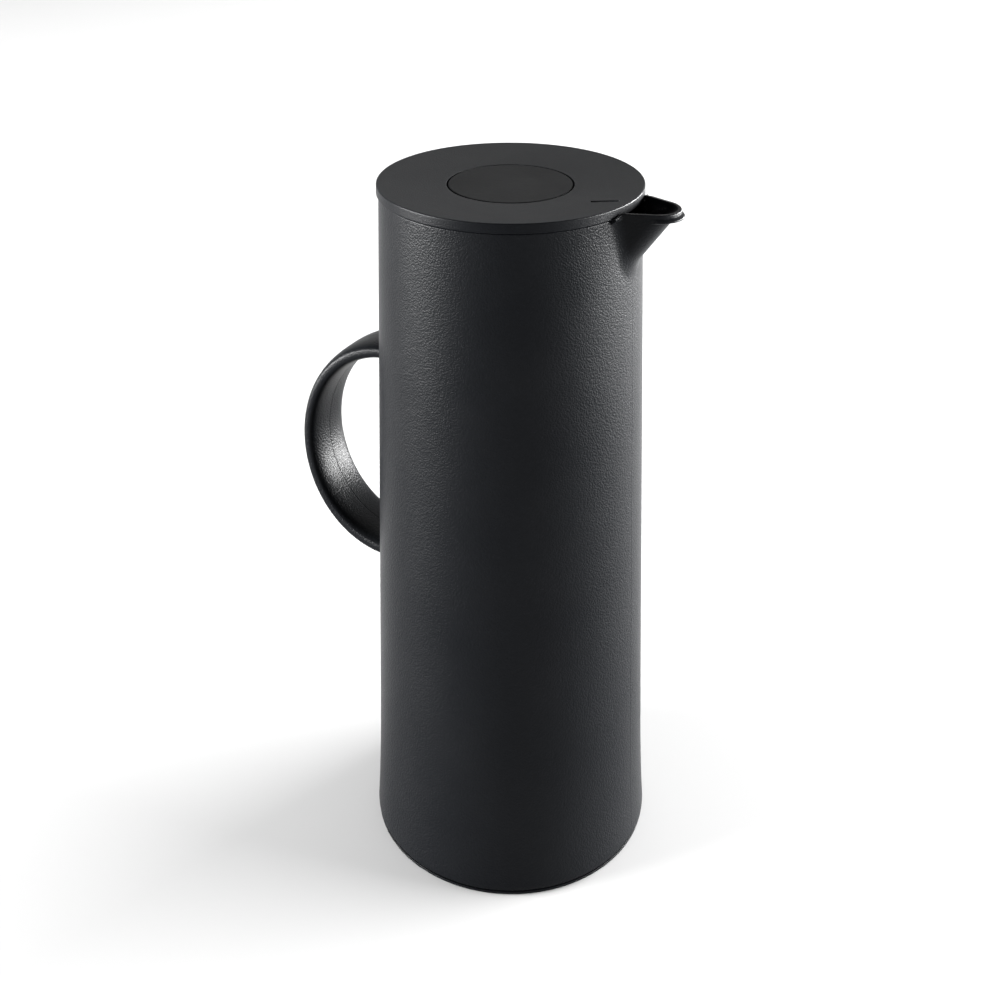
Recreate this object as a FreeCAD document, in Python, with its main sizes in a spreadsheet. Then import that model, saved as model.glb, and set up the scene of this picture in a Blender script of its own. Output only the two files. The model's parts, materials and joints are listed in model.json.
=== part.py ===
import FreeCAD, Part
import math
import os
import Sketcher

# Thermal carafe: a straight moulded jug with a C-shaped handle and an open spout, a steel vacuum
# flask clamped inside it, and a screw lid with a sprung push button that opens a valve.
# +Z is up, +X points out of the spout, and the origin is where the jug's axis meets the table.

# Driving dimensions in millimetres, angles in degrees and counts.
SIZES = {
    # shell
    "body_radius": 55.5,
    "waist_draw": 1.2,
    "waist_height": 33.5,
    "foot_flare": 0.7,
    "rim_height": 253.1,
    "shell_wall": 2.5,
    "rim_wall": 3.6,
    "deck_depth": 19.6,
    # spout
    "spout_rise": 1.4,
    "spout_overhang": 20.4,
    "spout_tip_radius": 10.2,
    "spout_taper": 13.0,
    "spout_depth": 26.2,
    "spout_keel_inset": 1.6,
    "spout_keel_radius": 6.5,
    "spout_root_inset": 9.0,
    "spout_wall": 2.0,
    "spout_blend": 5.5,
    "lip_overhang": 1.0,
    "lip_height": 2.8,
    "lip_round": 1.3,
    # handle
    "handle_height": 135.8,
    "handle_ring_radius": 41.0,
    "handle_inset": 1.7,
    "handle_width": 25.3,
    "handle_thickness": 7.0,
    "handle_corner": 2.7,
    "handle_sweep": 200.0,
    "handle_blend": 1.8,
    # lid
    "lid_overhang": 0.97,
    "lid_clearance": 0.45,
    "rim_gap": 0.4,
    "skirt_height": 4.0,
    "skirt_wall": 2.4,
    "cover_wall": 2.2,
    "lid_edge_round": 0.5,
    "lid_dish": 1.6,
    "mark_length": 11.6,
    "mark_width": 2.2,
    "mark_inset": 9.85,
    "mark_bearing": -8.7,
    "mark_turn": 27.5,
    # push button
    "button_radius": 26.2,
    "button_gap": 0.7,
    "button_round": 0.4,
    "button_plate": 2.0,
    "button_wall": 1.8,
    "button_depth": 6.0,
    "boss_radius": 5.6,
    "boss_depth": 3.5,
    # stopper
    "stopper_radius": 31.2,
    "stopper_wall": 2.0,
    "stopper_flange": 33.6,
    "flange_height": 2.0,
    "stopper_depth": 32.5,
    "floor_height": 2.0,
    "button_well": 12.0,
    "partition_wall": 2.0,
    "guide_radius": 6.0,
    "guide_drop": 4.0,
    "guide_rise": 2.0,
    "guide_play": 0.1,
    "spigot_radius": 24.3,
    "spigot_depth": 4.0,
    "valve_hole": 12.0,
    "window_count": 6,
    "window_width": 17.0,
    "window_sill": 0.5,
    "window_head": 1.0,
    # seals of the stopper and the stem
    "thread_gap": 0.35,
    "seal_height": 2.5,
    "seal_gap": 0.3,
    "seal_rest": 0.1,
    "wiper_radius": 4.9,
    "wiper_height": 2.2,
    "wiper_gap": 0.15,
    # valve
    "stem_radius": 3.0,
    "stem_fit": 0.1,
    "stem_tail": 1.7,
    "valve_rim": 1.8,
    "valve_hub_radius": 6.0,
    "valve_hub_depth": 5.5,
    "valve_seal_inset": 0.6,
    "valve_seal_width": 3.2,
    "valve_seal_height": 1.4,
    "clip_radius": 4.8,
    "clip_groove": 2.3,
    "clip_height": 0.8,
    "clip_mouth": 3.6,
    # button spring
    "spring_radius": 11.0,
    "spring_wire": 1.2,
    "spring_turns": 3.5,
    "spring_rest": 0.05,
    # collar
    "collar_fit": 0.15,
    "collar_rim": 6.0,
    "collar_plate": 2.0,
    "deck_fall": 1.5,
    "sleeve_wall": 2.2,
    "spigot_gap": 2.7,
    "collar_lip": 2.0,
    "collar_gasket": 1.8,
    # flask
    "flask_gap": 2.0,
    "flask_wall": 0.5,
    "vacuum_gap": 3.2,
    "flask_corner": 8.0,
    "shoulder_height": 25.0,
    "neck_length": 10.0,
    "neck_seat": 2.3,
    "neck_vacuum_gap": 2.4,
    # base
    "cap_bottom": 0.5,
    "cap_flange": 1.0,
    "cap_inset": 0.3,
    "cap_fit": 0.15,
    "cap_wall": 2.2,
    "cap_plate": 2.4,
    "cap_rise": 8.0,
    "base_seal_inset": 1.3,
    "base_seal_height": 0.7,
    "pad_inset": 8.3,
    "pad_gap": 0.2,
    "pad_height": 1.6,
    "cushion_width": 12.0,
    "cushion_height": 6.0,
    # every cut passes its solid by this much, and an edge is known by its place within the slack
    "overrun": 2.0,
    "edge_slack": 0.01,
}

# Where the middle point of a curved stretch lies, as shares of its two ends' distances.
FLARE_SHARES = (0.25, 0.5)
CORNER_SHARE = "(1 - sqrt(1 / 2))"
SHOULDER_SHARES = (0.72, 0.652)

# How finely the spring is laid out and measured.
ARCS_PER_TURN = 4
POINTS_PER_TURN = 90

doc = FreeCAD.newDocument("thermal_carafe")
sheet = doc.addObject("Spreadsheet::Sheet", "sizes")
for row, (name, value) in enumerate(SIZES.items(), start=1):
    sheet.set(f"A{row}", name)
    sheet.set(f"B{row}", str(value))
    sheet.setAlias(f"B{row}", name)
doc.recompute()

# Levels and radii that several pieces share, as expressions on the sheet.
WAIST_RADIUS = "(sizes.body_radius - sizes.waist_draw)"
FOOT_RADIUS = f"({WAIST_RADIUS} + sizes.foot_flare)"
SHELL_BORE = "(sizes.body_radius - sizes.shell_wall)"
LOW_BORE = f"({WAIST_RADIUS} - sizes.shell_wall)"
RIM_BORE = "(sizes.body_radius - sizes.rim_wall)"
DECK = "(sizes.rim_height - sizes.deck_depth)"

SPOUT_RIM = "(sizes.rim_height + sizes.spout_rise)"
SPOUT_FOOT = f"({SPOUT_RIM} - sizes.spout_depth)"
SPOUT_REACH = "(sizes.body_radius + sizes.spout_overhang)"
SPOUT_ROOT = "(sizes.body_radius - sizes.spout_root_inset)"
KEEL_REACH = "(sizes.body_radius - sizes.spout_keel_inset)"

LID_RADIUS = "(sizes.body_radius + sizes.lid_overhang)"
LID_LOW = "(sizes.rim_height + sizes.rim_gap)"
LID_TOP = f"({LID_LOW} + sizes.skirt_height)"
MARK_RADIUS = f"({LID_RADIUS} - sizes.mark_inset)"
BUTTON_TOP = f"({LID_TOP} - sizes.lid_dish)"
BUTTON_UNDER = f"({BUTTON_TOP} - sizes.button_plate)"
BUTTON_HOLE = "(sizes.button_radius + sizes.button_gap)"

STOPPER_FLOOR = f"({LID_LOW} - sizes.stopper_depth)"
PARTITION_LOW = f"({LID_LOW} - sizes.button_well)"
PARTITION_TOP = f"({PARTITION_LOW} + sizes.partition_wall)"
GUIDE_LOW = f"({PARTITION_LOW} - sizes.guide_drop)"
GUIDE_TOP = f"({PARTITION_TOP} + sizes.guide_rise)"
GUIDE_BORE = "(sizes.stem_radius + sizes.guide_play)"
WINDOW_LOW = f"({DECK} + sizes.deck_fall + sizes.window_sill)"
WINDOW_TOP = f"({PARTITION_LOW} - sizes.window_head)"
WINDOW_START = "(sizes.stopper_radius - sizes.stopper_wall - sizes.overrun)"

SLEEVE_BORE = "(sizes.stopper_radius + sizes.thread_gap)"
COLLAR_LIP_BORE = "(sizes.spigot_radius + sizes.spigot_gap)"
COLLAR_LIP_TOP = f"({STOPPER_FLOOR} - sizes.seal_height - 2 * sizes.seal_rest)"
COLLAR_LIP_LOW = f"({COLLAR_LIP_TOP} - sizes.collar_lip)"

VALVE_SEAT = f"({STOPPER_FLOOR} - sizes.spigot_depth)"
VALVE_SEAL_TOP = f"({VALVE_SEAT} - sizes.seal_rest)"
VALVE_TOP = f"({VALVE_SEAL_TOP} - sizes.valve_seal_height)"
VALVE_HUB_LOW = f"({VALVE_TOP} - sizes.valve_hub_depth)"
VALVE_SEAL_INNER = "(sizes.valve_hole + sizes.valve_seal_inset)"
VALVE_SEAL_OUTER = f"({VALVE_SEAL_INNER} + sizes.valve_seal_width)"
VALVE_RADIUS = f"({VALVE_SEAL_OUTER} + sizes.valve_seal_inset)"
STEM_BORE = "(sizes.stem_radius + sizes.stem_fit)"
CLIP_LOW = f"({VALVE_HUB_LOW} - sizes.clip_height)"
STEM_END = f"({CLIP_LOW} - sizes.stem_tail)"

CAP_EDGE = f"({FOOT_RADIUS} - sizes.cap_inset)"
CAP_FLANGE_TOP = "(sizes.cap_bottom + sizes.cap_flange)"
CAP_FLOOR = "(sizes.pad_height + sizes.cap_plate)"
CAP_TOP = f"({CAP_FLOOR} + sizes.cap_rise)"
PAD_RADIUS = f"({CAP_EDGE} - sizes.pad_inset)"
SHELL_EDGE = f"({CAP_FLANGE_TOP} + sizes.base_seal_height)"

FLASK_RADIUS = f"({LOW_BORE} - sizes.flask_gap)"
FLASK_NECK = f"({COLLAR_LIP_BORE} + sizes.neck_seat)"
FLASK_MOUTH = f"({COLLAR_LIP_LOW} - sizes.collar_gasket)"
FLASK_NECK_LOW = f"({FLASK_MOUTH} - sizes.neck_length)"
FLASK_SHOULDER = f"({FLASK_NECK_LOW} - sizes.shoulder_height)"
FLASK_BASE = f"({CAP_FLOOR} + sizes.cushion_height)"
CUSHION_OUTER = f"({FLASK_RADIUS} - sizes.flask_corner)"
CUSHION_INNER = f"({CUSHION_OUTER} - sizes.cushion_width)"

# Every finished piece, in the order it is made.
pieces = []


def number(expression):
    """The value of an expression on the sheet."""
    return float(sheet.evalExpression(expression))


def between(start, end, share):
    """The expression of a place part of the way from one expression to another."""
    return f"({start} + ({end} - {start}) * {share})"


def new_body(label, is_piece=True):
    """An empty body. The label of a piece names its file."""
    body = doc.addObject("PartDesign::Body", label)
    body.Label = label
    if is_piece:
        pieces.append(body)
    return body


def new_sketch(body, name, role, lift="0"):
    """A sketch on one of the body's own planes, lifted along that plane's normal."""
    sketch = body.newObject("Sketcher::SketchObject", name)
    plane = next(item for item in body.Origin.OriginFeatures if item.Role == role)
    sketch.AttachmentSupport = [(plane, "")]
    sketch.MapMode = "FlatFace"
    if lift != "0":
        sketch.setExpression("AttachmentOffset.Base.z", lift)
    doc.recompute()
    return sketch


def pin(sketch, geometry, point, spot):
    """Holds a point of the sketch at two expressions, measured from the sketch's origin."""
    for kind, expression in zip(("DistanceX", "DistanceY"), spot):
        place = number(expression)
        index = sketch.addConstraint(Sketcher.Constraint(kind, -1, 1, geometry, point, place))
        sketch.setExpression(f"Constraints[{index}]", expression)


def draw(sketch, corners):
    """A closed outline. A corner is two expressions; with two more, the stretch that follows it
    is an arc through that middle point."""
    spots = [FreeCAD.Vector(number(corner[0]), number(corner[1]), 0) for corner in corners]
    for index, corner in enumerate(corners):
        start, end = spots[index], spots[(index + 1) % len(spots)]
        if len(corner) > 2:
            middle = FreeCAD.Vector(number(corner[2]), number(corner[3]), 0)
            sketch.addGeometry(Part.Arc(start, middle, end), False)
        else:
            sketch.addGeometry(Part.LineSegment(start, end), False)
    ends = [arc_ends(sketch, index, spots) for index in range(len(corners))]
    for index, corner in enumerate(corners):
        following = (index + 1) % len(corners)
        last, first = ends[index][1], ends[following][0]
        sketch.addConstraint(Sketcher.Constraint("Coincident", index, last, following, first))
        pin(sketch, index, ends[index][0], corner[:2])
        if len(corner) > 2:
            middle = FreeCAD.Vector(number(corner[2]), number(corner[3]), 0)
            mark = sketch.addGeometry(Part.Point(middle), True)
            pin(sketch, mark, 1, corner[2:])
            sketch.addConstraint(Sketcher.Constraint("PointOnObject", mark, 1, index))
    doc.recompute()
    return sketch


def arc_ends(sketch, index, spots):
    """Which end of a stretch lies at its first corner: arcs always run anticlockwise."""
    first = sketch.getPoint(index, 1)
    away = (first - spots[index]).Length
    near = (sketch.getPoint(index, 2) - spots[index]).Length
    return (1, 2) if away <= near else (2, 1)


def revolve(body, name, corners):
    """Turns an outline in radius and height round the axis. The outline lies square to the spout
    and the handle, so no seam of the turned face meets them."""
    sketch = draw(new_sketch(body, f"{name}_outline", "YZ_Plane"), corners)
    feature = body.newObject("PartDesign::Revolution", name)
    feature.Profile = sketch
    feature.ReferenceAxis = (sketch, ["V_Axis"])
    feature.Angle = 360
    sketch.Visibility = False
    doc.recompute()
    return feature


def turned_piece(label, corners):
    """A piece that is one turned outline."""
    body = new_body(label)
    revolve(body, f"{label}_turned", corners)
    return body


def ring(label, inner, outer, low, top):
    """A plain ring, or a disc where the inner radius is zero."""
    return turned_piece(label, [(inner, low), (outer, low), (outer, top), (inner, top)])


def pocket(body, name, sketch, depth, outwards=False):
    """Cuts an outline into a body, and makes sure that it takes something away."""
    before = body.Shape.Volume
    cut = body.newObject("PartDesign::Pocket", name)
    cut.Profile = sketch
    cut.setExpression("Length", depth)
    cut.Reversed = outwards
    sketch.Visibility = False
    doc.recompute()
    if body.Shape.Volume >= before:
        raise RuntimeError(f"{name} cuts nothing")
    return cut


def blend(name, base, rounds):
    """Rounds edges: each entry is a test that picks them and the radius they get."""
    fillet = doc.addObject("Part::Fillet", name)
    fillet.Base = base
    picked = []
    for wanted, radius in rounds:
        for index, edge in enumerate(base.Shape.Edges, start=1):
            if wanted(edge):
                picked.append((index, number(radius), number(radius)))
    fillet.Edges = picked
    base.Visibility = False
    doc.recompute()
    return fillet


def meets_wall(edge, low, top):
    """Whether an edge lies on the outside of the wall between two heights."""
    middle = edge.valueAt((edge.FirstParameter + edge.LastParameter) / 2)
    away = abs(math.hypot(middle.x, middle.y) - number("sizes.body_radius"))
    return away < number("sizes.overrun") and low < middle.z < top


def spout_outline(reach, radius, root):
    """Plan of the spout at one height: two sides that draw in, and a round tip."""
    middle = f"({reach} - {radius})"
    touch = f"({middle} + {radius} * sin(sizes.spout_taper))"
    half = f"({radius} * cos(sizes.spout_taper))"
    root_half = f"({half} + ({touch} - {root}) * tan(sizes.spout_taper))"
    return [
        (root, f"-{root_half}"),
        (touch, f"-{half}", reach, "0"),
        (touch, half),
        (root, root_half),
    ]


def loft(body, name, low_outline, low, top_outline, top):
    """A ruled form between two outlines at two heights."""
    first = draw(new_sketch(body, f"{name}_low", "XY_Plane", low), low_outline)
    second = draw(new_sketch(body, f"{name}_top", "XY_Plane", top), top_outline)
    feature = body.newObject("PartDesign::AdditiveLoft", name)
    feature.Profile = first
    feature.Sections = [second]
    feature.Ruled = True
    first.Visibility = second.Visibility = False
    doc.recompute()
    return feature


def make_outer_shell():
    """Wall, spout and handle of the jug, moulded in one piece and open at both ends."""
    form = new_body("shell_form", is_piece=False)
    flare = between(WAIST_RADIUS, FOOT_RADIUS, FLARE_SHARES[0])
    flare_height = between(SHELL_EDGE, "sizes.waist_height", FLARE_SHARES[1])
    revolve(form, "wall", [
        ("0", SHELL_EDGE),
        (FOOT_RADIUS, SHELL_EDGE, flare, flare_height),
        (WAIST_RADIUS, "sizes.waist_height"),
        ("sizes.body_radius", SPOUT_RIM),
        ("0", SPOUT_RIM),
    ])
    add_spout(form)
    add_handle(form)
    blended = blend("shell_blends", form, [
        (spout_foot, "sizes.spout_blend"),
        (under_lip, "sizes.lip_round"),
        (handle_root, "sizes.handle_blend"),
    ])
    shell = doc.addObject("Part::Cut", "outer_shell")
    shell.Label = "outer_shell"
    shell.Base = blended
    shell.Tool = make_hollow()
    doc.recompute()
    pieces.append(shell)


def add_spout(body):
    """The spout's outer form, with a lip under its tip."""
    loft(
        body, "spout",
        spout_outline(KEEL_REACH, "sizes.spout_keel_radius", SPOUT_ROOT),
        SPOUT_FOOT,
        spout_outline(SPOUT_REACH, "sizes.spout_tip_radius", SPOUT_ROOT),
        SPOUT_RIM,
    )
    middle = f"({SPOUT_REACH} - sizes.spout_tip_radius + sizes.lip_overhang)"
    tip = f"({SPOUT_REACH} + sizes.lip_overhang)"
    sketch = draw(new_sketch(body, "lip_outline", "XY_Plane", SPOUT_RIM), [
        (middle, "-sizes.spout_tip_radius", tip, "0"),
        (middle, "sizes.spout_tip_radius"),
    ])
    lip = body.newObject("PartDesign::Pad", "lip")
    lip.Profile = sketch
    lip.setExpression("Length", "sizes.lip_height")
    lip.Reversed = True
    sketch.Visibility = False
    doc.recompute()


def spout_foot(edge):
    """Edges where the spout runs into the wall."""
    beside_spout = edge.CenterOfMass.x > number(SPOUT_ROOT)
    return beside_spout and meets_wall(edge, number(SPOUT_FOOT), number(SPOUT_RIM))


def under_lip(edge):
    """The lip's lower edge."""
    low = number(f"{SPOUT_RIM} - sizes.lip_height")
    flat = all(abs(vertex.Z - low) < number("sizes.edge_slack") for vertex in edge.Vertexes)
    past_middle = edge.CenterOfMass.x > number(f"{SPOUT_REACH} - sizes.spout_tip_radius")
    return flat and past_middle and edge.Curve.TypeId == "Part::GeomCircle"


def handle_root(edge):
    """Edges where the handle runs into the wall."""
    spread = "(sizes.handle_ring_radius + sizes.handle_thickness)"
    low = number(f"sizes.handle_height - {spread}")
    top = number(f"sizes.handle_height + {spread}")
    return edge.CenterOfMass.x < -number("sizes.handle_width") and meets_wall(edge, low, top)


def add_handle(body):
    """A wide flat band bent to half a ring, whose centre lies just inside the wall behind the spout."""
    sketch = new_sketch(body, "handle_section", "XY_Plane", "sizes.handle_height")
    sketch.setExpression("AttachmentOffset.Base.x", "sizes.handle_inset - sizes.body_radius")
    outer = "(sizes.handle_ring_radius + sizes.handle_thickness / 2)"
    inner = "(sizes.handle_ring_radius - sizes.handle_thickness / 2)"
    half = "(sizes.handle_width / 2)"
    corner = "sizes.handle_corner"
    cut = f"({corner} * {CORNER_SHARE})"
    side = f"({half} - {corner})"
    draw(sketch, [
        (f"-{inner}", f"-{side}"),
        (f"-{inner}", side, f"-({inner} + {cut})", f"({half} - {cut})"),
        (f"-({inner} + {corner})", half),
        (f"-({outer} - {corner})", half, f"-({outer} - {cut})", f"({half} - {cut})"),
        (f"-{outer}", side),
        (f"-{outer}", f"-{side}", f"-({outer} - {cut})", f"-({half} - {cut})"),
        (f"-({outer} - {corner})", f"-{half}"),
        (f"-({inner} + {corner})", f"-{half}", f"-({inner} + {cut})", f"-({half} - {cut})"),
    ])
    handle = body.newObject("PartDesign::Revolution", "handle")
    handle.Profile = sketch
    handle.ReferenceAxis = (sketch, ["V_Axis"])
    handle.setExpression("Angle", "sizes.handle_sweep")
    handle.Midplane = True
    sketch.Visibility = False
    doc.recompute()


def make_hollow():
    """What the shell leaves free: the bore for the flask, the pour channel and the room for the lid."""
    body = new_body("shell_hollow", is_piece=False)
    lid_room = f"({LID_RADIUS} + sizes.lid_clearance)"
    below = f"({SHELL_EDGE} - sizes.overrun)"
    above = f"({SPOUT_RIM} + sizes.overrun)"
    revolve(body, "bore", [
        ("0", below),
        (LOW_BORE, below),
        (LOW_BORE, "sizes.waist_height"),
        (SHELL_BORE, DECK),
        (RIM_BORE, DECK),
        (RIM_BORE, "sizes.rim_height"),
        (lid_room, "sizes.rim_height"),
        (lid_room, above),
        ("0", above),
    ])
    slope_share = f"(({DECK} - {SPOUT_FOOT}) / ({SPOUT_RIM} - {SPOUT_FOOT}))"
    over_share = f"(({above} - {SPOUT_FOOT}) / ({SPOUT_RIM} - {SPOUT_FOOT}))"
    loft(
        body, "channel",
        channel_outline(slope_share), DECK,
        channel_outline(over_share), above,
    )
    return body


def channel_outline(share):
    """Plan of the pour channel, one wall inside the spout, at a share of the spout's height."""
    reach = between(KEEL_REACH, SPOUT_REACH, share)
    radius = between("sizes.spout_keel_radius", "sizes.spout_tip_radius", share)
    wall = "sizes.spout_wall"
    return spout_outline(f"({reach} - {wall})", f"({radius} - {wall})", SPOUT_ROOT)


def make_collar():
    """Deck below the rim that leads to the spout, with the sleeve that takes the stopper."""
    outer = f"({SHELL_BORE} - sizes.collar_fit)"
    sleeve = f"({SLEEVE_BORE} + sizes.sleeve_wall)"
    deck_inner = f"({DECK} + sizes.deck_fall)"
    turned_piece("neck_collar", [
        (SLEEVE_BORE, deck_inner),
        (SLEEVE_BORE, COLLAR_LIP_TOP),
        (COLLAR_LIP_BORE, COLLAR_LIP_TOP),
        (COLLAR_LIP_BORE, COLLAR_LIP_LOW),
        (sleeve, COLLAR_LIP_LOW),
        (sleeve, f"({deck_inner} - sizes.collar_plate)"),
        (f"({outer} - sizes.collar_plate)", f"({DECK} - sizes.collar_plate)"),
        (f"({outer} - sizes.collar_plate)", f"({DECK} - sizes.collar_rim)"),
        (outer, f"({DECK} - sizes.collar_rim)"),
        (outer, DECK),
        (RIM_BORE, DECK),
    ])
    ring("collar_gasket", COLLAR_LIP_BORE, SLEEVE_BORE, FLASK_MOUTH, COLLAR_LIP_LOW)


def corner_middle(radius, base, size):
    """Middle of a rounded lower corner."""
    inset = f"({size} * {CORNER_SHARE})"
    return f"({radius} - {inset})", f"({base} + {inset})"


def shoulder_middle(radius, neck, shoulder, neck_low):
    """Middle of the flask's domed shoulder."""
    return (
        between(neck, radius, SHOULDER_SHARES[0]),
        between(shoulder, neck_low, SHOULDER_SHARES[1]),
    )


def make_flask():
    """Vacuum flask: two steel walls that meet at the mouth, and a disc that closes the outer one."""
    wall, corner = "sizes.flask_wall", "sizes.flask_corner"
    radius, neck, base = FLASK_RADIUS, FLASK_NECK, FLASK_BASE
    shoulder, neck_low = FLASK_SHOULDER, FLASK_NECK_LOW
    mouth_under = f"({FLASK_MOUTH} - {wall})"
    thin, thin_neck = f"({radius} - {wall})", f"({neck} - {wall})"
    weld = f"({base} + {corner})"
    inner_corner = f"({corner} - {wall})"
    turned_piece("flask_outer", [
        (radius, weld),
        (radius, shoulder, *shoulder_middle(radius, neck, shoulder, neck_low)),
        (neck, neck_low),
        (neck, mouth_under),
        (thin_neck, mouth_under),
        (thin_neck, f"({neck_low} - {wall})",
         *shoulder_middle(thin, thin_neck, shoulder, f"({neck_low} - {wall})")),
        (thin, shoulder),
        (thin, weld),
    ])
    turned_piece("flask_bottom", [
        ("0", base),
        (f"({radius} - {corner})", base, *corner_middle(radius, base, corner)),
        (radius, weld),
        (thin, weld, *corner_middle(thin, f"({base} + {wall})", inner_corner)),
        (f"({radius} - {corner})", f"({base} + {wall})"),
        ("0", f"({base} + {wall})"),
    ])
    cup, cup_neck = f"({thin} - sizes.vacuum_gap)", f"({thin_neck} - sizes.neck_vacuum_gap)"
    cup_base = f"({base} + {wall} + sizes.vacuum_gap)"
    cup_neck_low = f"({neck_low} - {wall} - sizes.vacuum_gap)"
    bowl, bowl_neck = f"({cup} - {wall})", f"({cup_neck} - {wall})"
    turned_piece("flask_inner", [
        ("0", cup_base),
        (f"({cup} - {corner})", cup_base, *corner_middle(cup, cup_base, corner)),
        (cup, f"({cup_base} + {corner})"),
        (cup, shoulder, *shoulder_middle(cup, cup_neck, shoulder, cup_neck_low)),
        (cup_neck, cup_neck_low),
        (cup_neck, mouth_under),
        (neck, mouth_under),
        (neck, FLASK_MOUTH),
        (bowl_neck, FLASK_MOUTH),
        (bowl_neck, f"({cup_neck_low} - {wall})",
         *shoulder_middle(bowl, bowl_neck, shoulder, f"({cup_neck_low} - {wall})")),
        (bowl, shoulder),
        (bowl, f"({cup_base} + {corner})",
         *corner_middle(bowl, f"({cup_base} + {wall})", inner_corner)),
        (f"({cup} - {corner})", f"({cup_base} + {wall})"),
        ("0", f"({cup_base} + {wall})"),
    ])


def make_base():
    """Cap that closes the shell and presses the flask up, with its seal, cushion and foot pad."""
    plug = f"({LOW_BORE} - sizes.cap_fit)"
    recess = f"({PAD_RADIUS} + sizes.pad_gap)"
    turned_piece("base_cap", [
        ("0", "sizes.pad_height"),
        (recess, "sizes.pad_height"),
        (recess, "sizes.cap_bottom"),
        (CAP_EDGE, "sizes.cap_bottom"),
        (CAP_EDGE, CAP_FLANGE_TOP),
        (plug, CAP_FLANGE_TOP),
        (plug, CAP_TOP),
        (f"({plug} - sizes.cap_wall)", CAP_TOP),
        (f"({plug} - sizes.cap_wall)", CAP_FLOOR),
        ("0", CAP_FLOOR),
    ])
    seal_outer = f"({FOOT_RADIUS} - sizes.base_seal_inset)"
    ring("base_seal", LOW_BORE, seal_outer, CAP_FLANGE_TOP, SHELL_EDGE)
    ring("foot_pad", "0", PAD_RADIUS, "0", "sizes.pad_height")
    ring("flask_cushion", CUSHION_INNER, CUSHION_OUTER, CAP_FLOOR, FLASK_BASE)


def make_lid_cover():
    """Round cover, slightly dished towards the button, with a skirt and a short slot as a mark."""
    body = new_body("lid_cover")
    skirt = f"({LID_RADIUS} - sizes.skirt_wall)"
    rounded = f"({LID_RADIUS} - sizes.lid_edge_round)"
    edge = corner_middle(LID_RADIUS, "0", "sizes.lid_edge_round")[0]
    fall = f"(sizes.lid_dish * (sizes.stopper_flange - {BUTTON_HOLE}) / ({LID_RADIUS} - {BUTTON_HOLE}))"
    revolve(body, "cover", [
        (BUTTON_HOLE, LID_LOW),
        ("sizes.stopper_flange", LID_LOW),
        ("sizes.stopper_flange", f"({BUTTON_TOP} + {fall} - sizes.cover_wall)"),
        (skirt, f"({LID_TOP} - sizes.cover_wall)"),
        (skirt, LID_LOW),
        (LID_RADIUS, LID_LOW),
        (LID_RADIUS, f"({LID_TOP} - sizes.lid_edge_round)",
         edge, f"({LID_TOP} - sizes.lid_edge_round * {CORNER_SHARE})"),
        (rounded, LID_TOP),
        (BUTTON_HOLE, BUTTON_TOP),
    ])
    sketch = draw(new_sketch(body, "mark_outline", "XY_Plane", LID_TOP), mark_corners())
    pocket(body, "mark", sketch, "sizes.lid_dish")


def mark_corners():
    """Four corners of the slot in the lid, which lies askew near the spout."""
    middle = (f"{MARK_RADIUS} * cos(sizes.mark_bearing)", f"{MARK_RADIUS} * sin(sizes.mark_bearing)")
    corners = []
    for along, across in ((-1, -1), (1, -1), (1, 1), (-1, 1)):
        ahead = f"({along} * sizes.mark_length / 2)"
        aside = f"({across} * sizes.mark_width / 2)"
        corners.append((
            f"({middle[0]} + {ahead} * cos(sizes.mark_turn) - {aside} * sin(sizes.mark_turn))",
            f"({middle[1]} + {ahead} * sin(sizes.mark_turn) + {aside} * cos(sizes.mark_turn))",
        ))
    return corners


def make_stopper():
    """Hollow plug under the lid: guide tube and button well above, pour windows and valve seat below."""
    body = new_body("stopper_body")
    well = "(sizes.stopper_radius - sizes.stopper_wall)"
    floor_top = f"({STOPPER_FLOOR} + sizes.floor_height)"
    wiper_top = f"({GUIDE_LOW} + sizes.wiper_height)"
    revolve(body, "plug", [
        ("sizes.valve_hole", VALVE_SEAT),
        ("sizes.spigot_radius", VALVE_SEAT),
        ("sizes.spigot_radius", STOPPER_FLOOR),
        ("sizes.stopper_radius", STOPPER_FLOOR),
        ("sizes.stopper_radius", f"({LID_LOW} - sizes.flange_height)"),
        ("sizes.stopper_flange", f"({LID_LOW} - sizes.flange_height)"),
        ("sizes.stopper_flange", LID_LOW),
        (well, LID_LOW),
        (well, PARTITION_TOP),
        ("sizes.guide_radius", PARTITION_TOP),
        ("sizes.guide_radius", GUIDE_TOP),
        (GUIDE_BORE, GUIDE_TOP),
        (GUIDE_BORE, wiper_top),
        ("sizes.wiper_radius", wiper_top),
        ("sizes.wiper_radius", GUIDE_LOW),
        ("sizes.guide_radius", GUIDE_LOW),
        ("sizes.guide_radius", PARTITION_LOW),
        (well, PARTITION_LOW),
        (well, floor_top),
        ("sizes.valve_hole", floor_top),
    ])
    half = "(sizes.window_width / 2)"
    sketch = draw(new_sketch(body, "window_outline", "XZ_Plane", WINDOW_START), [
        (f"-{half}", WINDOW_LOW),
        (half, WINDOW_LOW),
        (half, WINDOW_TOP),
        (f"-{half}", WINDOW_TOP),
    ])
    through = f"sizes.stopper_radius - {WINDOW_START} + sizes.overrun"
    window = pocket(body, "window", sketch, through, outwards=True)
    windows = body.newObject("PartDesign::PolarPattern", "windows")
    windows.Originals = [window]
    axis = next(item for item in body.Origin.OriginFeatures if item.Role == "Z_Axis")
    windows.Axis = (axis, [""])
    windows.Angle = 360
    windows.setExpression("Occurrences", "sizes.window_count")
    body.Tip = windows
    doc.recompute()
    ring(
        "stopper_seal",
        "(sizes.spigot_radius + sizes.seal_gap)", f"({SLEEVE_BORE} - sizes.seal_gap)",
        f"({COLLAR_LIP_TOP} + sizes.seal_rest)", f"({STOPPER_FLOOR} - sizes.seal_rest)",
    )
    ring("stem_seal", GUIDE_BORE, "(sizes.wiper_radius - sizes.wiper_gap)", GUIDE_LOW, wiper_top)


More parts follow.
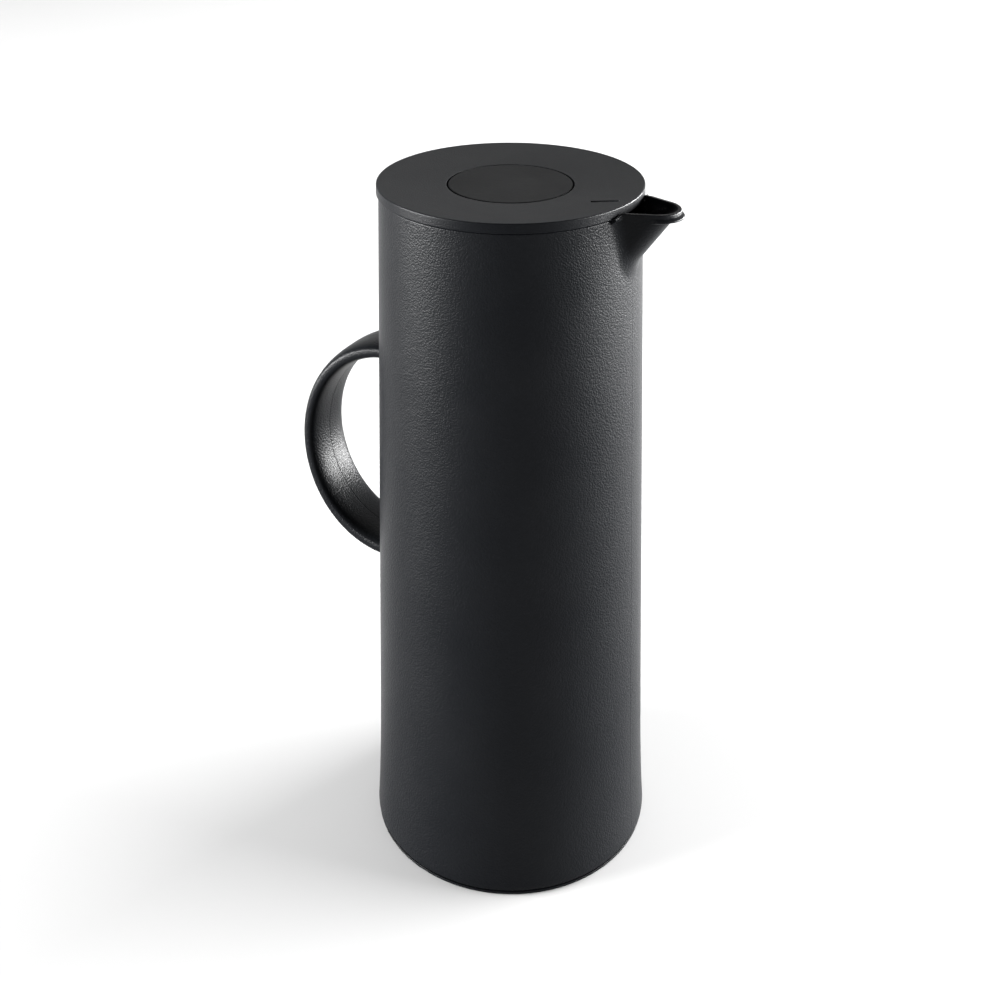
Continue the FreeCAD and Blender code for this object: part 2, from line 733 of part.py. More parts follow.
def make_valve():
    """Button, stem and valve plate, which move down together."""
    inside = "(sizes.button_radius - sizes.button_wall)"
    skirt_low = f"({BUTTON_TOP} - sizes.button_depth)"
    boss_low = f"({BUTTON_UNDER} - sizes.boss_depth)"
    rounded = f"({BUTTON_TOP} - sizes.button_round * {CORNER_SHARE})"
    turned_piece("push_button", [
        ("0", BUTTON_UNDER),
        (STEM_BORE, BUTTON_UNDER),
        (STEM_BORE, boss_low),
        ("sizes.boss_radius", boss_low),
        ("sizes.boss_radius", BUTTON_UNDER),
        (inside, BUTTON_UNDER),
        (inside, skirt_low),
        ("sizes.button_radius", skirt_low),
        ("sizes.button_radius", f"({BUTTON_TOP} - sizes.button_round)",
         corner_middle("sizes.button_radius", "0", "sizes.button_round")[0], rounded),
        ("(sizes.button_radius - sizes.button_round)", BUTTON_TOP),
        ("0", BUTTON_TOP),
    ])
    turned_piece("valve_stem", [
        ("0", STEM_END),
        ("sizes.stem_radius", STEM_END),
        ("sizes.stem_radius", CLIP_LOW),
        ("sizes.clip_groove", CLIP_LOW),
        ("sizes.clip_groove", VALVE_HUB_LOW),
        ("sizes.stem_radius", VALVE_HUB_LOW),
        ("sizes.stem_radius", BUTTON_UNDER),
        ("0", BUTTON_UNDER),
    ])
    turned_piece("valve_head", [
        (STEM_BORE, VALVE_HUB_LOW),
        ("sizes.valve_hub_radius", VALVE_HUB_LOW),
        (VALVE_RADIUS, f"({VALVE_TOP} - sizes.valve_rim)"),
        (VALVE_RADIUS, VALVE_TOP),
        (STEM_BORE, VALVE_TOP),
    ])
    ring("valve_seal", VALVE_SEAL_INNER, VALVE_SEAL_OUTER, VALVE_TOP, VALVE_SEAL_TOP)
    make_stem_clip()


def make_stem_clip():
    """Open spring clip in the groove of the stem, under the valve plate."""
    body = new_body("stem_clip")
    inner = "(sizes.clip_groove + sizes.stem_fit)"
    revolve(body, "clip_turned", [
        (inner, CLIP_LOW),
        ("sizes.clip_radius", CLIP_LOW),
        ("sizes.clip_radius", VALVE_HUB_LOW),
        (inner, VALVE_HUB_LOW),
    ])
    half = "(sizes.clip_mouth / 2)"
    far = "(sizes.clip_radius + sizes.overrun)"
    sketch = draw(new_sketch(body, "mouth_outline", "XY_Plane", VALVE_HUB_LOW), [
        ("0", f"-{half}"),
        (far, f"-{half}"),
        (far, half),
        ("0", half),
    ])
    pocket(body, "mouth", sketch, "sizes.clip_height + sizes.overrun")


def arc_through(start, way, end):
    """Arc that leaves its start along a direction and ends at a point."""
    chord = end - start
    across = chord - way * chord.dot(way)
    half = chord.Length / 2
    turn = math.atan2(across.Length, chord.dot(way))
    bow = across.normalize() * math.cos(turn) - way * math.sin(turn)
    return Part.Arc(start, (start + end) / 2 - bow * half * math.tan(turn / 2), end)


def coil_points(radius, low, rise, turns, steps):
    """Places and directions along a coil, evenly spaced."""
    whole = turns * 2 * math.pi
    climb = rise / whole
    spots = []
    for step in range(steps + 1):
        angle = whole * step / steps
        place = FreeCAD.Vector(radius * math.cos(angle), radius * math.sin(angle), low + climb * angle)
        way = FreeCAD.Vector(-radius * math.sin(angle), radius * math.cos(angle), climb)
        spots.append((place, way.normalize()))
    return spots


def biarc(start, start_way, end, end_way):
    """Two arcs that leave one place and reach another along given directions."""
    gap = end - start
    both = start_way + end_way
    spread = 2 * (1 - start_way.dot(end_way))
    reach = (math.sqrt(gap.dot(both) ** 2 + spread * gap.dot(gap)) - gap.dot(both)) / spread
    middle = (start + end + (start_way - end_way) * reach) / 2
    first = arc_through(start, start_way, middle)
    second = arc_through(end, end_way * -1, middle)
    return first, second


def least_gap(path, turns):
    """Least distance between points on a coil's middle line that lie half a turn or more apart."""
    spots = path.discretize(Number=round(turns * POINTS_PER_TURN))
    apart = POINTS_PER_TURN // 2
    return min(
        (spot - other).Length
        for index, spot in enumerate(spots)
        for other in spots[index + apart:]
    )


def make_spring():
    """Coil spring between the plug's partition and the button, one unbroken round wire."""
    wire, radius = number("sizes.spring_wire"), number("sizes.spring_radius")
    turns = number("sizes.spring_turns")
    low = number(f"{PARTITION_TOP} + sizes.spring_wire / 2 + sizes.spring_rest")
    top = number(f"{BUTTON_UNDER} - sizes.spring_wire / 2 - sizes.spring_rest")
    spots = coil_points(radius, low, top - low, turns, round(turns * ARCS_PER_TURN))
    edges = []
    for (start, start_way), (end, end_way) in zip(spots, spots[1:]):
        for arc in biarc(start, start_way, end, end_way):
            edges.append(arc.toShape())
    path = Part.Wire(Part.__sortEdges__(edges))
    section = Part.Wire(Part.makeCircle(wire / 2, spots[0][0], spots[0][1]))
    coil = doc.addObject("Part::Feature", "button_spring")
    coil.Label = "button_spring"
    coil.Shape = path.makePipeShell([section], True, False)
    coil.Placement = FreeCAD.Placement()
    pieces.append(coil)
    print("spring: least gap between turns", round(least_gap(path, turns) - wire, 2), "mm")


def main():
    """Makes every piece, checks the document and writes one file per piece."""
    make_outer_shell()
    make_collar()
    make_flask()
    make_base()
    make_lid_cover()
    make_stopper()
    make_valve()
    make_spring()
    doc.recompute()
    failed = [item.Name for item in doc.Objects if {"Invalid", "Error"} & set(item.State)]
    failed += [item.Label for item in pieces if item.Shape.isNull() or not item.Shape.isValid()]
    if failed:
        raise RuntimeError("not built: " + ", ".join(failed))
    os.makedirs("parts", exist_ok=True)
    for piece in pieces:
        piece.Shape.exportStep(f"parts/{piece.Label}.step")
        print(piece.Label, len(piece.Shape.Solids), "solid,", round(piece.Shape.Volume), "mm3")


main()
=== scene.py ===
# %% [markdown]
# # A thermal carafe
#
# A tall straight jug of matt black plastic, with a band bent to half a ring as its handle, an open
# spout and a round screw lid with a push button in the middle. Inside sits a steel vacuum flask.
# The solids come in as a fixed frame, in metres: +Z is up, +X points out of the spout, and the
# origin is where the jug's axis meets the table. What shows is modelled again here, finer than the
# solids, and each piece lies exactly where its solid is.

# %% Load the solids and keep them with their record
import bmesh
import bpy
import json
import math
import numpy as np
from mathutils import Matrix, Vector


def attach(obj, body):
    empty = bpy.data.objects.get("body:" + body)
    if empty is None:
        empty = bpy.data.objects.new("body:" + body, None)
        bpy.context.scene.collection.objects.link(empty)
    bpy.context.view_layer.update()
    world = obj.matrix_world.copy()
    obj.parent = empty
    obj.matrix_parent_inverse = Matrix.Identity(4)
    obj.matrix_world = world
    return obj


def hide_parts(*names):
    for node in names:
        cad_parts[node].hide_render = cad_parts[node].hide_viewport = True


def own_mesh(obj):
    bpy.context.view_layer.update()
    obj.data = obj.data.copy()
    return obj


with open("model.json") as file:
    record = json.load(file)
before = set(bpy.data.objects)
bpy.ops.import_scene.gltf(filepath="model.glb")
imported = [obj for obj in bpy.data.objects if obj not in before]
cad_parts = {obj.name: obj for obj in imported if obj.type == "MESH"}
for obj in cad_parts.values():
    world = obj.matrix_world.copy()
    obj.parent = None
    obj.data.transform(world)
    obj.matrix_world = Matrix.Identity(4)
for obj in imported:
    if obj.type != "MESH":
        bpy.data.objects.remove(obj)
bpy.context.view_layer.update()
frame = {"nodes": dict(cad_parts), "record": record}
nodes = frame["nodes"]
MM = 0.001

# %% [markdown]
# ## Camera
#
# The jug is seen from above, and yet its sides stay upright in the picture: the picture plane
# stands upright while the lens looks down, as in a view camera with a shifted back. A large lens
# shift would do that, but it would stay with every other view too. So the camera hangs in a rig
# that is turned and stretched a little: together they look down along a slope with an upright
# picture plane. The stretch comes from splitting the wished axes into turn, stretch and turn.

# %% Place the camera
FOCAL = 1439.6
PICTURE = 1000.0
HORIZON = -254.0
AXIS_AT = 510.6
DISTANCE = 604.8 * MM
EYE_HEIGHT = 439.5 * MM
SENSOR = 36.0
TURN_X, TURN_Y = 0.887, 0.4617
to_right = Vector((TURN_X, TURN_Y, 0.0)).normalized()
to_eye = Vector((TURN_Y, -TURN_X, 0.0)).normalized()
upright = Vector((0.0, 0.0, 1.0))

slope = math.atan2(PICTURE / 2 - HORIZON, FOCAL)
backwards = to_eye * math.cos(slope) + upright * math.sin(slope)
axes = np.array([to_right, upright, backwards]).T
outer_turn, stretch, inner_turn = np.linalg.svd(axes)
if np.linalg.det(outer_turn) < 0:
    outer_turn[:, 2] *= -1
    inner_turn[2, :] *= -1
rig = bpy.data.objects.new("camera_rig", None)
camera = bpy.data.objects.new("camera", bpy.data.cameras.new("camera"))
for thing in (rig, camera):
    bpy.context.scene.collection.objects.link(thing)
    thing.rotation_mode = "QUATERNION"
camera.parent = rig
rig.rotation_quaternion = Matrix(outer_turn.tolist()).to_quaternion()
rig.scale = stretch.tolist()
camera.rotation_quaternion = Matrix(inner_turn.tolist()).to_quaternion()
aside = (AXIS_AT - PICTURE / 2) / FOCAL * DISTANCE
rig.location = to_eye * DISTANCE + upright * EYE_HEIGHT - to_right * aside
camera.data.sensor_width = SENSOR
camera.data.lens = SENSOR * FOCAL / PICTURE / math.cos(slope)
bpy.context.scene.camera = camera
print("camera: slope", round(math.degrees(slope), 2), "degrees, lens", round(camera.data.lens, 2), "mm")

# %% [markdown]
# ## Floor and light
#
# The jug stands on a plain pale table that strong light turns white. The floor is one large disc.
# Soft boxes are area lights. Two low ones stand just past its edge, because an upright wall seen
# from above mirrors what lies low: a wide one at the right makes the body brighter towards that edge
# and throws the shadow to the left, a narrow one at the left gives the pale band there. A very large
# one above and one at the back light the table. The room fills in: bright along the horizon, so that
# the floor's edge doesn't show, and dimmer overhead.

# %% Lay the floor
def plain_mesh(name, build):
    """A new object whose mesh is made by a function that gets an empty bmesh."""
    shape = bmesh.new()
    build(shape)
    mesh = bpy.data.meshes.new(name)
    shape.to_mesh(mesh)
    shape.free()
    thing = bpy.data.objects.new(name, mesh)
    bpy.context.scene.collection.objects.link(thing)
    return thing


FLOOR_RADIUS, FLOOR_SIDES = 2.3, 128


def disc(shape):
    """One round face."""
    bmesh.ops.create_circle(shape, cap_ends=True, segments=FLOOR_SIDES, radius=FLOOR_RADIUS)


floor = plain_mesh("floor", disc)
white = bpy.data.materials.new("floor_white")
white.use_nodes = True
floor_shader = white.node_tree.nodes["Principled BSDF"]
floor_shader.inputs["Base Color"].default_value = (0.56, 0.56, 0.56, 1)
floor_shader.inputs["Roughness"].default_value = 0.6
floor_shader.inputs["Specular IOR Level"].default_value = 0.1
floor.data.materials.append(white)
print("floor:", [round(x, 2) for x in floor.dimensions])

# %% Hang the soft boxes
def soft_box(name, place, aim, width, height, watts):
    """A rectangular area light that looks at a point."""
    light = bpy.data.lights.new(name, "AREA")
    light.shape = "RECTANGLE"
    light.size, light.size_y = width, height
    light.energy = watts
    holder = bpy.data.objects.new(name, light)
    bpy.context.scene.collection.objects.link(holder)
    holder.location = place
    holder.rotation_euler = (Vector(aim) - Vector(place)).to_track_quat("-Z", "Y").to_euler()
    holder.visible_camera = False


def studio(right, toward, up):
    """A place given as the camera sees it: to the right, towards the camera and up, in metres."""
    return to_right * right + to_eye * toward + upright * up


LOW = 0.27
soft_box("top_light", studio(0.0, -0.4, 4.0), studio(0, -0.4, 0), width=6.0, height=6.0, watts=45)
soft_box("back_light", studio(0.0, -2.6, 1.6), studio(0, -2.6, 0), width=5.0, height=1.8, watts=35)
soft_box("right_light", studio(2.45, -0.55, LOW), studio(0, 0, LOW), width=3.0, height=0.5, watts=850)
soft_box("left_light", studio(-2.45, 0.42, LOW), studio(0, 0, LOW), width=1.25, height=0.5, watts=430)

# %% Brighten the room along the horizon
HORIZON_GLOW, OVERHEAD_GLOW, GLOW_REACH = 1.0, 0.25, 0.35
world = bpy.data.worlds.new("room")
world.use_nodes = True
sky = world.node_tree
sky.nodes["Background"].inputs["Color"].default_value = (1, 1, 1, 1)
direction = sky.nodes.new("ShaderNodeSeparateXYZ")
fall = sky.nodes.new("ShaderNodeMapRange")
fall.inputs["From Max"].default_value = GLOW_REACH
fall.inputs["To Min"].default_value = HORIZON_GLOW
fall.inputs["To Max"].default_value = OVERHEAD_GLOW
sky.links.new(sky.nodes.new("ShaderNodeTexCoord").outputs["Generated"], direction.inputs["Vector"])
sky.links.new(direction.outputs["Z"], fall.inputs["Value"])
sky.links.new(fall.outputs["Result"], sky.nodes["Background"].inputs["Strength"])
bpy.context.scene.world = world
bpy.context.scene.view_settings.view_transform = "Standard"
print("room: glow from", HORIZON_GLOW, "at the horizon to", OVERHEAD_GLOW, "overhead")

# %% [markdown]
# ## Finishes
#
# Every finish is a small node tree on Object coordinates, which are metres from the jug's axis and
# the table, so a grain has its real size. A helper starts each tree and hands back the shader.

# %% Helper for node trees
def finish(name):
    """A new material, its node tree and its shader."""
    material = bpy.data.materials.new(name)
    material.use_nodes = True
    return material, material.node_tree, material.node_tree.nodes["Principled BSDF"]


def node(tree, kind, inputs=None, **settings):
    """A node with its settings and its unlinked inputs set. An output as input is linked."""
    made = tree.nodes.new(kind)
    for key, value in settings.items():
        setattr(made, key, value)
    for key, value in (inputs or {}).items():
        if isinstance(value, bpy.types.NodeSocket):
            tree.links.new(value, made.inputs[key])
        else:
            made.inputs[key].default_value = value
    return made


WOBBLES_PER_CELL, SPECKS_PER_CELL, SPECK_DEPTH_SHARE = 0.6, 3.5, 0.35


def grain(tree, shader, size, depth, softness):
    """Moulded leather grain: rounded cells with grooves between them, over fine unevenness."""
    place = node(tree, "ShaderNodeTexCoord").outputs["Object"]
    wobble = node(tree, "ShaderNodeTexNoise",
                  {"Vector": place, "Scale": WOBBLES_PER_CELL / size, "Detail": 2.0})
    shifted = node(tree, "ShaderNodeVectorMath",
                   {0: wobble.outputs["Color"], 1: (size, size, size), 2: place}, operation="MULTIPLY_ADD")
    cells = node(tree, "ShaderNodeTexVoronoi", {"Vector": shifted.outputs["Vector"], "Scale": 1 / size,
                                                "Smoothness": softness}, feature="SMOOTH_F1")
    fine = node(tree, "ShaderNodeTexNoise", {"Vector": place, "Scale": SPECKS_PER_CELL / size, "Detail": 3.0})
    both = node(tree, "ShaderNodeMath",
                {0: fine.outputs["Fac"], 1: SPECK_DEPTH_SHARE, 2: cells.outputs["Distance"]},
                operation="MULTIPLY_ADD")
    bump = node(tree, "ShaderNodeBump", {"Height": both.outputs["Value"], "Distance": depth, "Strength": 1.0},
                invert=True)
    tree.links.new(bump.outputs["Normal"], shader.inputs["Normal"])


def drifting(tree, shader, scale, dark, light, smooth, rough):
    """Colour and roughness that drift together between two values, as handling and moulding leave them."""
    place = node(tree, "ShaderNodeTexCoord").outputs["Object"]
    drift = node(tree, "ShaderNodeTexNoise", {"Vector": place, "Scale": scale, "Detail": 4.0})
    share = node(tree, "ShaderNodeMapRange",
                 {"Value": drift.outputs["Fac"], "From Min": 0.3, "From Max": 0.7})
    tint = node(tree, "ShaderNodeValToRGB", {"Fac": share.outputs["Result"]})
    tint.color_ramp.elements[0].color, tint.color_ramp.elements[1].color = (*dark, 1), (*light, 1)
    polish = node(tree, "ShaderNodeMapRange",
                  {"Value": share.outputs["Result"], "To Min": smooth, "To Max": rough})
    tree.links.new(tint.outputs["Color"], shader.inputs["Base Color"])
    tree.links.new(polish.outputs["Result"], shader.inputs["Roughness"])


print("helpers:", [helper.__name__ for helper in (finish, node, grain, drifting)])

# %% [markdown]
# ### Grained plastic of the shell
#
# The shell is moulded in a mould whose wall is etched with a fine leather grain, so the plastic is
# matt but sparkles a little where light grazes it. Cells under a millimetre wide give the
# grain, and colour and roughness change slowly from place to place, as handling polishes the
# plastic. The specular level is low, because the etched wall scatters most of what it mirrors.

# %% Shell plastic
SHELL_MIRROR = 0.055
shell_plastic, tree, shader = finish("shell_plastic")
shader.inputs["Specular IOR Level"].default_value = SHELL_MIRROR
grain(tree, shader, 0.72 * MM, 0.1 * MM, 0.35)
drifting(tree, shader, 28.0, (0.0019, 0.0022, 0.0028), (0.0026, 0.0029, 0.0035), 0.33, 0.39)
print("finish:", shell_plastic.name)

# %% [markdown]
# ### Plastic of lid and button
#
# Both are moulded with a finer grain than the shell. The lid's top is a matt, slightly paler face.
# Its skirt continues the wall, so from a certain distance from the axis on, gloss and specular level go over
# to those of the shell. Its colour there goes over to a dark tone close to the shell's. That is painted
# shade, which makes the lid's upright side darker than its top. The button's plastic is a little darker than
# the lid around it.

# %% Lid plastic
SKIRT_FROM, SKIRT_FULL = 56.1, 56.3
# The skirt's tint is painted shade: a darker colour for the lid's upright side than for its top.
SKIRT_PAINTED_SHADE, SKIRT_ROUGHNESS = (0.0022, 0.0025, 0.0031, 1), 0.36
LID_MIRROR = 0.09
lid_plastic, tree, shader = finish("lid_plastic")
grain(tree, shader, 0.6 * MM, 0.05 * MM, 0.4)
drifting(tree, shader, 30.0, (0.0160, 0.0167, 0.0181), (0.0192, 0.0200, 0.0215), 0.56, 0.64)
place = node(tree, "ShaderNodeTexCoord").outputs["Object"]
level_part = node(tree, "ShaderNodeVectorMath", {0: place, 1: (1, 1, 0)}, operation="MULTIPLY")
reach = node(tree, "ShaderNodeVectorMath", {0: level_part.outputs["Vector"]}, operation="LENGTH")
skirt = node(tree, "ShaderNodeMapRange", {"Value": reach.outputs["Value"], "From Min": SKIRT_FROM * MM,
                                          "From Max": SKIRT_FULL * MM}).outputs["Result"]
top_tint = shader.inputs["Base Color"].links[0].from_socket
top_polish = shader.inputs["Roughness"].links[0].from_socket
# Goes over from the top's colour to the skirt's painted shade, by distance from the axis.
tint = node(tree, "ShaderNodeMix", {0: skirt, 6: top_tint, 7: SKIRT_PAINTED_SHADE}, data_type="RGBA")
polish = node(tree, "ShaderNodeMix", {0: skirt, 2: top_polish, 3: SKIRT_ROUGHNESS}, data_type="FLOAT")
mirror = node(tree, "ShaderNodeMapRange", {"Value": skirt, "To Min": LID_MIRROR, "To Max": SHELL_MIRROR})
tree.links.new(tint.outputs[2], shader.inputs["Base Color"])
tree.links.new(polish.outputs[0], shader.inputs["Roughness"])
tree.links.new(mirror.outputs["Result"], shader.inputs["Specular IOR Level"])
print("finish:", lid_plastic.name)

# %% Button plastic
button_plastic, tree, shader = finish("button_plastic")
shader.inputs["Specular IOR Level"].default_value = 0.1
grain(tree, shader, 0.6 * MM, 0.05 * MM, 0.4)
drifting(tree, shader, 30.0, (0.003, 0.0033, 0.004), (0.004, 0.0043, 0.005), 0.56, 0.64)
print("finish:", button_plastic.name)

# %% [markdown]
# ### Finishes inside
#
# Collar and plug are smooth satin plastic. The flask's steel is brushed while it turns, so its fine
# lines run round the axis: noise is squeezed along Z, which makes thin level lines. The spring and
# the rod are drawn wire, evenly bright. Seals are grey silicone, dusty and matt, and the foot's
# rubber is black with a soft grain.

# %% Plastic and steel inside
inner_plastic, tree, shader = finish("inner_plastic")
shader.inputs["Specular IOR Level"].default_value = 0.12
grain(tree, shader, 0.3 * MM, 0.01 * MM, 0.6)
drifting(tree, shader, 40.0, (0.015, 0.016, 0.018), (0.019, 0.02, 0.022), 0.34, 0.44)

flask_steel, tree, shader = finish("flask_steel")
shader.inputs["Metallic"].default_value = 1.0
place = node(tree, "ShaderNodeTexCoord").outputs["Object"]
SQUEEZE = (14.0, 14.0, 5200.0)
squeezed = node(tree, "ShaderNodeVectorMath", {0: place, 1: SQUEEZE}, operation="MULTIPLY")
lines = node(tree, "ShaderNodeTexNoise", {"Vector": squeezed.outputs["Vector"], "Scale": 1.0, "Detail": 3.0})
scratch = node(tree, "ShaderNodeBump",
               {"Height": lines.outputs["Fac"], "Distance": 0.004 * MM, "Strength": 1.0})
tree.links.new(scratch.outputs["Normal"], shader.inputs["Normal"])
drifting(tree, shader, 35.0, (0.57, 0.57, 0.55), (0.66, 0.66, 0.64), 0.24, 0.34)

spring_steel, tree, shader = finish("spring_steel")
shader.inputs["Metallic"].default_value = 1.0
drifting(tree, shader, 900.0, (0.48, 0.48, 0.49), (0.6, 0.6, 0.6), 0.2, 0.34)
print("finishes:", inner_plastic.name, flask_steel.name, spring_steel.name)

# %% Rubbers
seal_rubber, tree, shader = finish("seal_rubber")
grain(tree, shader, 0.25 * MM, 0.012 * MM, 0.7)
drifting(tree, shader, 120.0, (0.31, 0.31, 0.3), (0.38, 0.38, 0.37), 0.55, 0.7)

foot_rubber, tree, shader = finish("foot_rubber")
grain(tree, shader, 0.35 * MM, 0.03 * MM, 0.5)
drifting(tree, shader, 90.0, (0.013, 0.013, 0.014), (0.022, 0.022, 0.023), 0.62, 0.78)
print("finishes:", seal_rubber.name, foot_rubber.name)

# %% Give every solid its finish
finishes = {
    "shell_plastic": shell_plastic, "lid_plastic": lid_plastic, "button_plastic": button_plastic,
    "inner_plastic": inner_plastic, "flask_steel": flask_steel, "spring_steel": spring_steel,
    "seal_rubber": seal_rubber, "foot_rubber": foot_rubber,
}
for part in frame["record"]["subparts"]:
    solid = nodes[part["node"]]
    solid.data.materials.clear()
    solid.data.materials.append(finishes[part["material_slot"]])
print("finishes:", sorted(finishes))

# %% [markdown]
# ## Shell: wall and spout
#
# Wall and spout come out of one mould, so they are one skin that flows from the round body into
# the spout. A separate spout joined by a Boolean would need a bevel along a curved seam, which
# breaks easily. Instead a grid is rolled up to a closed wall: one direction runs round the axis and
# is drawn together towards the spout, the other runs up the outside, over the rim and down inside.
# Each point is moved out along its own radius to the place where body and spout meet in a soft
# round. Beside the lid the spout's two cheeks stand up to just under the lid's top, and each ends
# in a short upright step. Under the tip a half-moon lip sheds the last drop.

# %% Sizes of the shell, in millimetres
FOOT, WAIST, BODY = 55.0, 54.3, 55.5
EDGE_LOW, WAIST_LEVEL, RIM, SPOUT_RIM = 2.2, 33.5, 253.1, 255.3
DECK, RIM_BORE, SHELL_BORE, LOW_BORE = 233.5, 51.9, 53.0, 51.8
SPOUT_FOOT, KEEL_REACH, KEEL_ROUND = 228.3, 53.9, 10.2
SPOUT_REACH, TIP_ROUND, TAPER = 75.6, 10.2, math.radians(19)
SPOUT_WALL, SPOUT_BLEND, LIP_REACH, LIP_LOW = 1.7, 3.0, 76.85, 251.4
LIP_THICK, LIP_STEP, LIP_TOP_ROUND, LIP_LOW_ROUND = 1.5, 1.3, 0.7, 0.8
LID_ROOM, CHEEK_WALL, CHEEK_RISE, CHEEK_DROP = 56.92, 0.9, 1.6, 1.0
CHEEK_LEVEL_TURN, CHEEK_TURN = math.radians(12), math.radians(17.5)
KEEL_LEAN, SIDE_LEAN = 0.70, 0.142
SPOUT_TURN, CHANNEL_TURN = 0.6, 1.2
FAR, OUTERMOST, HALVINGS = 99.0, 90.0, 44
print("spout: tip", SPOUT_REACH, "mm, lip", LIP_REACH, "mm from the axis")


# %% Formulas for wall and spout
def soft(share):
    """A step from 0 to 1 that starts and ends level."""
    share = np.clip(share, 0, 1)
    return share * share * (3 - 2 * share)


def wall_radius(z):
    """Outside of the body: a slight cone above the waist, a flare below it."""
    cone = WAIST + (BODY - WAIST) * (z - WAIST_LEVEL) / (SPOUT_RIM - WAIST_LEVEL)
    flare = WAIST + (FOOT - WAIST) * ((WAIST_LEVEL - z) / (WAIST_LEVEL - EDGE_LOW)) ** 2
    return np.where(z < WAIST_LEVEL, flare, cone)


def spout_plan(z):
    """Centre and radius of the spout's round tip at a height."""
    share = (z - SPOUT_FOOT) / (SPOUT_RIM - SPOUT_FOOT)
    radius = KEEL_ROUND + (TIP_ROUND - KEEL_ROUND) * share
    return KEEL_REACH + (SPOUT_REACH - KEEL_REACH) * share - radius, radius


def spout_distance(r, turn, z):
    """How far a point lies outside the spout: from its round tip, or from its straight sides."""
    center, radius = spout_plan(z)
    ahead, beside = r * np.cos(turn) - center, r * np.sin(turn)
    angle = np.arctan2(beside, ahead)
    limit = math.pi / 2 - TAPER
    nose = LIP_REACH - LIP_STEP * soft((z - LIP_LOW - LIP_THICK) / LIP_TOP_ROUND)
    lip = soft((z - LIP_LOW) / LIP_LOW_ROUND) * (nose - center - radius)
    half_moon = np.clip(np.cos(angle) - np.cos(limit), 0, 1) / (1 - np.cos(limit))
    round_part = np.hypot(ahead, beside) - radius - lip * half_moon
    straight_part = ahead * np.sin(TAPER) + beside * np.cos(TAPER) - radius
    lean = KEEL_LEAN * np.cos(np.minimum(angle, limit)) + SIDE_LEAN
    distance = np.where(angle < limit, round_part, straight_part) / np.sqrt(1 + lean ** 2)
    return np.where(turn < SPOUT_TURN, distance, FAR)


def outside(turn, z):
    """Radius of the outer skin, found by halving: body and spout, with a rolling round where they meet."""
    low, high = wall_radius(z), np.full_like(z, OUTERMOST)
    for _ in range(HALVINGS):
        r = (low + high) / 2
        body, spout = r - wall_radius(z), spout_distance(r, turn, z)
        hollow = np.hypot(np.maximum(SPOUT_BLEND - body, 0), np.maximum(SPOUT_BLEND - spout, 0))
        beyond = np.maximum(SPOUT_BLEND, np.minimum(body, spout)) - hollow > 0
        low, high = np.where(beyond, low, r), np.where(beyond, r, high)
    cheek = (LID_ROOM + CHEEK_WALL - wall_radius(z)) * soft((z - RIM + CHEEK_RISE) / CHEEK_RISE)
    return np.where(turn < CHEEK_TURN, np.maximum(r, wall_radius(z) + cheek), r)


def channel(turn, z):
    """Radius of the pour channel, one wall inside the spout, or of the rim's bore."""
    center, radius = spout_plan(z)
    radius = radius - SPOUT_WALL
    touch = np.arctan2(radius * np.cos(TAPER), center + radius * np.sin(TAPER))
    tip = center * np.cos(turn) + np.sqrt(np.maximum(radius ** 2 - (center * np.sin(turn)) ** 2, 0))
    side = (radius + center * np.sin(TAPER)) / np.sin(np.minimum(turn, CHANNEL_TURN) + TAPER)
    return np.maximum(np.where(turn < touch, tip, side), RIM_BORE)


nose_tip = float(outside(np.array([0.0]), np.array([LIP_LOW + LIP_THICK]))[0])
print("nose of the lip, by formula:", round(nose_tip, 2), "mm from the axis")

# %% List the rows of the section
# Each row has a kind, a height and an inset. The kind says what its points follow: the outer skin,
# the rim, the step beside the lid or the channel. A plain row's inset is its radius.
OUTER, RIM_TOP, STEP_TOP, STEP_LOW, RIM_IN, INNER, PLAIN = range(7)
EDGE_ROUND, EDGE_MIDDLE = 0.4, 0.12
RIM_ROUND, STEP_ROUND, STEP_MIDDLE = 0.5, 0.45, 0.13
RIM_DROPS, RIM_INSETS = (0.28, 0.12, 0.02), (0.05, 0.16, 0.33)
FLARE_LEVELS = (4, 7, 10, 14, 18, 22, 26, 30, WAIST_LEVEL)
WALL_LEVELS = (60, 100, 140, 180, 205, 214, 219, 222)
CLIMB_LOW, CLIMB_MIDDLE, CLIMB_FINE = 224, 246, 246.4
DEEP_IN = 1.2
spout_levels = np.linspace(CLIMB_LOW, CLIMB_MIDDLE, 30)
fine_levels = np.linspace(CLIMB_FINE, RIM - STEP_ROUND, 24)
rows = [(OUTER, EDGE_LOW, EDGE_ROUND), (OUTER, EDGE_LOW + EDGE_MIDDLE, EDGE_MIDDLE)]
outer_levels = (EDGE_LOW + EDGE_ROUND, *FLARE_LEVELS, *WALL_LEVELS, *spout_levels, *fine_levels)
rows += [(OUTER, z, 0) for z in outer_levels]
rows += [(OUTER, RIM - drop, inset) for drop, inset in zip(RIM_DROPS, RIM_INSETS)]
rows += [(RIM_TOP, RIM, RIM_ROUND), (STEP_TOP, RIM, STEP_ROUND)]
rows += [(STEP_TOP, RIM - STEP_MIDDLE, STEP_MIDDLE), (STEP_TOP, RIM - STEP_ROUND, 0), (STEP_LOW, RIM, 0)]
rows += [(RIM_IN, RIM, EDGE_ROUND), (RIM_IN, RIM - EDGE_MIDDLE, EDGE_MIDDLE), (INNER, RIM - EDGE_ROUND, 0)]
rows += [(INNER, z, 0) for z in np.linspace(RIM - DEEP_IN, DECK, 24)]
rows += [(PLAIN, DECK, SHELL_BORE), (PLAIN, WAIST_LEVEL, LOW_BORE), (PLAIN, EDGE_LOW, LOW_BORE)]
print("shell section:", len(rows), "rows")

